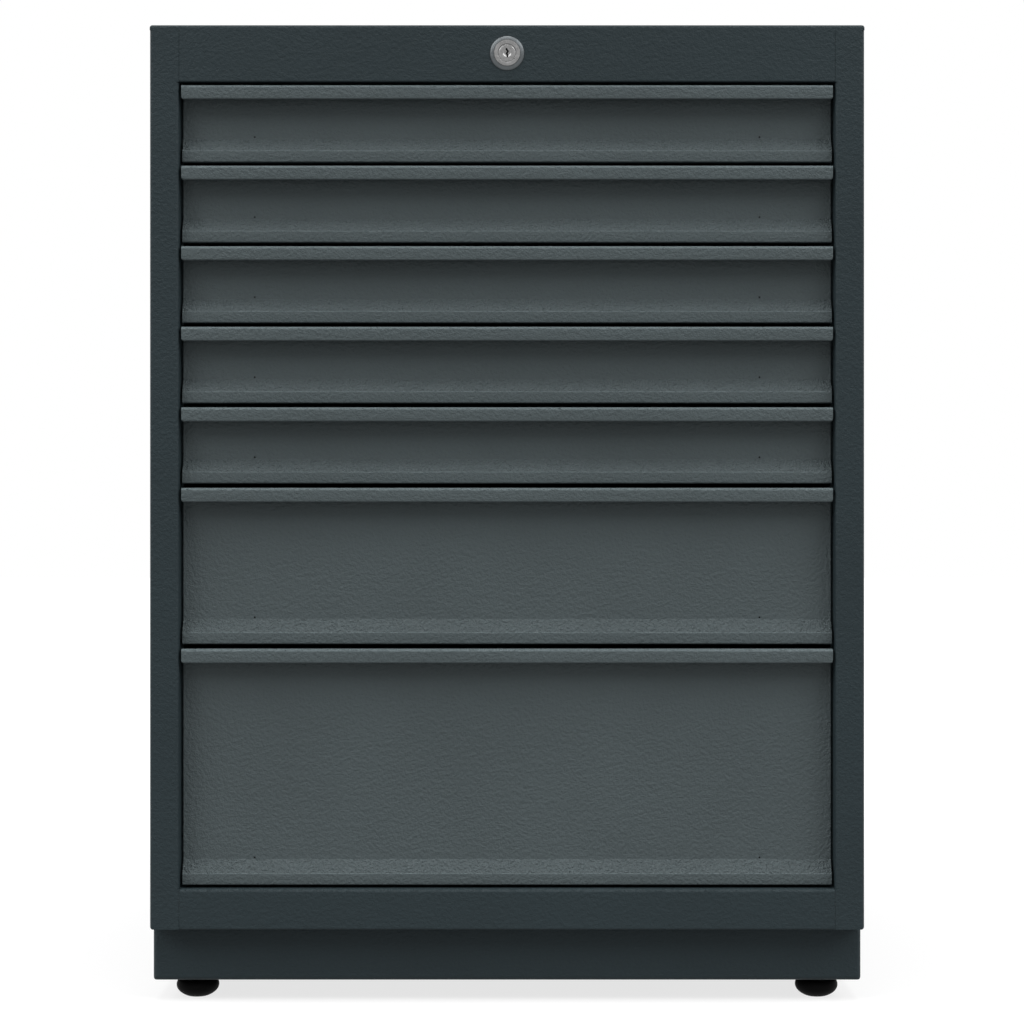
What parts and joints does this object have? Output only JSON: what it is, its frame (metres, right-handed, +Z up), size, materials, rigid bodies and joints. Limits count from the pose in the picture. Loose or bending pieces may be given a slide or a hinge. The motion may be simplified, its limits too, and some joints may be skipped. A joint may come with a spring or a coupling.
{
  "type": "drawer base cabinet",
  "caption": "Steel base cabinet on a plinth with levelling feet, lipped drawers on full-extension runners and one lock that bars every drawer.",
  "frame": {"origin": "on the floor, under the middle of the bounding box", "axes": "+Z up, the drawers open towards -Y, +X to the right of someone who faces the drawers"},
  "size_m": [0.665, 0.6024, 0.9135],
  "materials": {
    "frame_paint": "fine-textured powder coat",
    "drawer_paint": "fine-textured powder coat",
    "zinc_steel": "zinc plated",
    "lock_metal": "nickel plated",
    "guide_plastic": "moulded",
    "foot_plastic": "moulded"
  },
  "bodies": {
    "cabinet": {"left_side_panel": "frame_paint", "right_side_panel": "frame_paint", "top_panel": "frame_paint", "base_panel": "frame_paint", "back_panel": "frame_paint", "plinth_frame": "frame_paint", "foot_gussets": "frame_paint", "left_front_upright": "frame_paint", "right_front_upright": "frame_paint", "left_rear_upright": "frame_paint", "right_rear_upright": "frame_paint", "left_outer_runners": "zinc_steel", "right_outer_runners": "zinc_steel", "lock_housing": "lock_metal", "lock_nut": "zinc_steel", "rod_bearing": "frame_paint", "lock_bar_guides": "guide_plastic"},
    "drawer_1": {"drawer_1_front": "drawer_paint", "drawer_1_tray": "drawer_paint", "drawer_1_inner_runners": "zinc_steel"},
    "runner_1": {"drawer_1_middle_runners": "zinc_steel"},
    "drawer_2": {"drawer_2_front": "drawer_paint", "drawer_2_tray": "drawer_paint", "drawer_2_inner_runners": "zinc_steel"},
    "runner_2": {"drawer_2_middle_runners": "zinc_steel"},
    "drawer_3": {"drawer_3_front": "drawer_paint", "drawer_3_tray": "drawer_paint", "drawer_3_inner_runners": "zinc_steel"},
    "runner_3": {"drawer_3_middle_runners": "zinc_steel"},
    "drawer_4": {"drawer_4_front": "drawer_paint", "drawer_4_tray": "drawer_paint", "drawer_4_inner_runners": "zinc_steel"},
    "runner_4": {"drawer_4_middle_runners": "zinc_steel"},
    "drawer_5": {"drawer_5_front": "drawer_paint", "drawer_5_tray": "drawer_paint", "drawer_5_inner_runners": "zinc_steel"},
    "runner_5": {"drawer_5_middle_runners": "zinc_steel"},
    "drawer_6": {"drawer_6_front": "drawer_paint", "drawer_6_tray": "drawer_paint", "drawer_6_inner_runners": "zinc_steel"},
    "runner_6": {"drawer_6_middle_runners": "zinc_steel"},
    "drawer_7": {"drawer_7_front": "drawer_paint", "drawer_7_tray": "drawer_paint", "drawer_7_inner_runners": "zinc_steel"},
    "runner_7": {"drawer_7_middle_runners": "zinc_steel"},
    "lock_plug": {"lock_plug": "lock_metal", "lock_rod": "zinc_steel"},
    "lock_bar": {"lock_bar": "frame_paint", "lock_hooks": "frame_paint"},
    "front_left_foot": {"front_left_foot_pad": "foot_plastic", "front_left_foot_stem": "zinc_steel"},
    "front_right_foot": {"front_right_foot_pad": "foot_plastic", "front_right_foot_stem": "zinc_steel"},
    "rear_left_foot": {"rear_left_foot_pad": "foot_plastic", "rear_left_foot_stem": "zinc_steel"},
    "rear_right_foot": {"rear_right_foot_pad": "foot_plastic", "rear_right_foot_stem": "zinc_steel"}
  },
  "joints": [
    {"name": "drawer_1_slide", "type": "slide", "parent": "cabinet", "child": "drawer_1", "axis": [0, -1, 0], "range_m": [0, 0.5]},
    {"name": "runner_1_slide", "type": "slide", "parent": "cabinet", "child": "runner_1", "axis": [0, -1, 0], "range_m": [0, 0.25]},
    {"name": "drawer_2_slide", "type": "slide", "parent": "cabinet", "child": "drawer_2", "axis": [0, -1, 0], "range_m": [0, 0.5]},
    {"name": "runner_2_slide", "type": "slide", "parent": "cabinet", "child": "runner_2", "axis": [0, -1, 0], "range_m": [0, 0.25]},
    {"name": "drawer_3_slide", "type": "slide", "parent": "cabinet", "child": "drawer_3", "axis": [0, -1, 0], "range_m": [0, 0.5]},
    {"name": "runner_3_slide", "type": "slide", "parent": "cabinet", "child": "runner_3", "axis": [0, -1, 0], "range_m": [0, 0.25]},
    {"name": "drawer_4_slide", "type": "slide", "parent": "cabinet", "child": "drawer_4", "axis": [0, -1, 0], "range_m": [0, 0.5]},
    {"name": "runner_4_slide", "type": "slide", "parent": "cabinet", "child": "runner_4", "axis": [0, -1, 0], "range_m": [0, 0.25]},
    {"name": "drawer_5_slide", "type": "slide", "parent": "cabinet", "child": "drawer_5", "axis": [0, -1, 0], "range_m": [0, 0.5]},
    {"name": "runner_5_slide", "type": "slide", "parent": "cabinet", "child": "runner_5", "axis": [0, -1, 0], "range_m": [0, 0.25]},
    {"name": "drawer_6_slide", "type": "slide", "parent": "cabinet", "child": "drawer_6", "axis": [0, -1, 0], "range_m": [0, 0.5]},
    {"name": "runner_6_slide", "type": "slide", "parent": "cabinet", "child": "runner_6", "axis": [0, -1, 0], "range_m": [0, 0.25]},
    {"name": "drawer_7_slide", "type": "slide", "parent": "cabinet", "child": "drawer_7", "axis": [0, -1, 0], "range_m": [0, 0.5]},
    {"name": "runner_7_slide", "type": "slide", "parent": "cabinet", "child": "runner_7", "axis": [0, -1, 0], "range_m": [0, 0.25]},
    {"name": "lock_turn", "type": "hinge", "parent": "cabinet", "child": "lock_plug", "pos_m": [0, -0.2988, 0.887], "axis": [0, 1, 0], "range_deg": [0, 90]},
    {"name": "lock_bar_lift", "type": "slide", "parent": "cabinet", "child": "lock_bar", "axis": [0, 0, 1], "range_m": [0, 0.01414]},
    {"name": "front_left_foot_height", "type": "slide", "parent": "cabinet", "child": "front_left_foot", "axis": [0, 0, -1], "range_m": [-0.002, 0.02]},
    {"name": "front_right_foot_height", "type": "slide", "parent": "cabinet", "child": "front_right_foot", "axis": [0, 0, -1], "range_m": [-0.002, 0.02]},
    {"name": "rear_left_foot_height", "type": "slide", "parent": "cabinet", "child": "rear_left_foot", "axis": [0, 0, -1], "range_m": [-0.002, 0.02]},
    {"name": "rear_right_foot_height", "type": "slide", "parent": "cabinet", "child": "rear_right_foot", "axis": [0, 0, -1], "range_m": [-0.002, 0.02]}
  ],
  "couplings": [
    {"joint": "runner_1_slide", "follows": "drawer_1_slide", "ratio": 0.5},
    {"joint": "runner_2_slide", "follows": "drawer_2_slide", "ratio": 0.5},
    {"joint": "runner_3_slide", "follows": "drawer_3_slide", "ratio": 0.5},
    {"joint": "runner_4_slide", "follows": "drawer_4_slide", "ratio": 0.5},
    {"joint": "runner_5_slide", "follows": "drawer_5_slide", "ratio": 0.5},
    {"joint": "runner_6_slide", "follows": "drawer_6_slide", "ratio": 0.5},
    {"joint": "runner_7_slide", "follows": "drawer_7_slide", "ratio": 0.5},
    {"joint": "lock_turn", "follows": "lock_bar_lift", "rad_per_m": 111.07}
  ]
}
